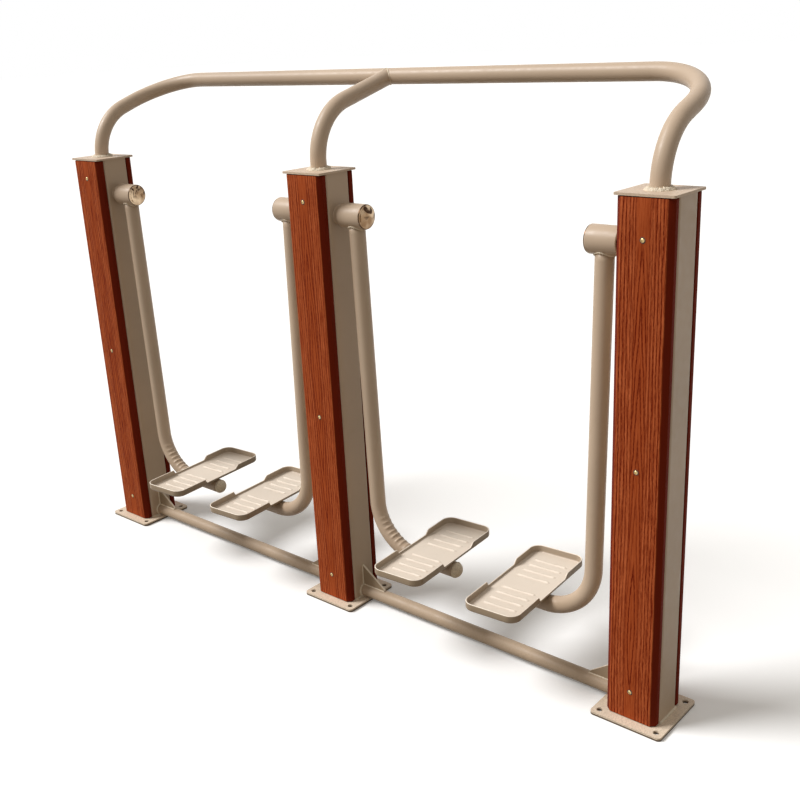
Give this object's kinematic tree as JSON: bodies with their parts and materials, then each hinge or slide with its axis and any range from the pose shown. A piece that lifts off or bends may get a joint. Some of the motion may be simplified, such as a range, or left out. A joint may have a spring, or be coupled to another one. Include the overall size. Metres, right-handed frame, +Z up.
{
  "type": "outdoor air walker",
  "caption": "Outdoor air walker: posts faced with planks, a bent handrail behind, and J-shaped swing arms on bearings, each carrying a ribbed pedal tray over tie tubes on the ground.",
  "frame": {"origin": "centre of the middle base plate's underside, on the ground", "axes": "+X along the row of posts, +Y towards the handrail's straight rail (the back), +Z up"},
  "size_m": [1.972, 0.4637, 1.369],
  "materials": {
    "powder_coat": "champagne beige semi-gloss powder coat",
    "pedal_coat": "champagne beige powder coat, a little lighter on the pressed trays",
    "plank": "reddish-brown grained wood-plastic board, satin",
    "screw_brass": "yellow zinc plated",
    "bright_steel": "ground bearing steel",
    "hub_chrome": "polished",
    "seal_rubber": "matt black",
    "black_steel": "black oxide, satin"
  },
  "bodies": {
    "frame": {"left_post": "powder_coat", "left_base_plate": "powder_coat", "left_cap_plate": "powder_coat", "left_front_plank": "plank", "left_rear_plank": "plank", "middle_post": "powder_coat", "middle_base_plate": "powder_coat", "middle_cap_plate": "powder_coat", "middle_front_plank": "plank", "middle_rear_plank": "plank", "right_post": "powder_coat", "right_base_plate": "powder_coat", "right_cap_plate": "powder_coat", "right_front_plank": "plank", "right_rear_plank": "plank", "plank_screws": "screw_brass", "handrail": "powder_coat", "middle_riser": "powder_coat", "left_ground_tube": "powder_coat", "right_ground_tube": "powder_coat", "ground_gussets": "powder_coat", "pivot_axles": "bright_steel", "bearing_inner_rings": "bright_steel", "axle_nuts": "bright_steel"},
    "left_bay_left_swing": {"left_bay_left_hub": "powder_coat", "left_bay_left_hub_cap": "hub_chrome", "left_bay_left_bearings": "bright_steel", "left_bay_left_hub_seal": "seal_rubber", "left_bay_left_arm": "powder_coat", "left_bay_left_arm_plug": "powder_coat", "left_bay_left_pedal": "pedal_coat", "left_bay_left_pedal_bracket": "powder_coat", "left_bay_left_pedal_studs": "black_steel"},
    "left_bay_right_swing": {"left_bay_right_hub": "powder_coat", "left_bay_right_hub_cap": "hub_chrome", "left_bay_right_bearings": "bright_steel", "left_bay_right_hub_seal": "seal_rubber", "left_bay_right_arm": "powder_coat", "left_bay_right_arm_plug": "powder_coat", "left_bay_right_pedal": "pedal_coat", "left_bay_right_pedal_bracket": "powder_coat", "left_bay_right_pedal_studs": "black_steel"},
    "right_bay_left_swing": {"right_bay_left_hub": "powder_coat", "right_bay_left_hub_cap": "hub_chrome", "right_bay_left_bearings": "bright_steel", "right_bay_left_hub_seal": "seal_rubber", "right_bay_left_arm": "powder_coat", "right_bay_left_arm_plug": "powder_coat", "right_bay_left_pedal": "pedal_coat", "right_bay_left_pedal_bracket": "powder_coat", "right_bay_left_pedal_studs": "black_steel"},
    "right_bay_right_swing": {"right_bay_right_hub": "powder_coat", "right_bay_right_hub_cap": "hub_chrome", "right_bay_right_bearings": "bright_steel", "right_bay_right_hub_seal": "seal_rubber", "right_bay_right_arm": "powder_coat", "right_bay_right_arm_plug": "powder_coat", "right_bay_right_pedal": "pedal_coat", "right_bay_right_pedal_bracket": "powder_coat", "right_bay_right_pedal_studs": "black_steel"}
  },
  "joints": [
    {"name": "left_bay_left_pivot", "type": "hinge", "parent": "frame", "child": "left_bay_left_swing", "pos_m": [-0.789, 0, 1.045], "axis": [1, 0, 0], "range_deg": [-60, 60]},
    {"name": "left_bay_right_pivot", "type": "hinge", "parent": "frame", "child": "left_bay_right_swing", "pos_m": [-0.111, 0, 1.045], "axis": [1, 0, 0], "range_deg": [-60, 60]},
    {"name": "right_bay_left_pivot", "type": "hinge", "parent": "frame", "child": "right_bay_left_swing", "pos_m": [0.111, 0, 1.045], "axis": [1, 0, 0], "range_deg": [-60, 60]},
    {"name": "right_bay_right_pivot", "type": "hinge", "parent": "frame", "child": "right_bay_right_swing", "pos_m": [0.789, 0, 1.045], "axis": [1, 0, 0], "range_deg": [-60, 60]}
  ]
}
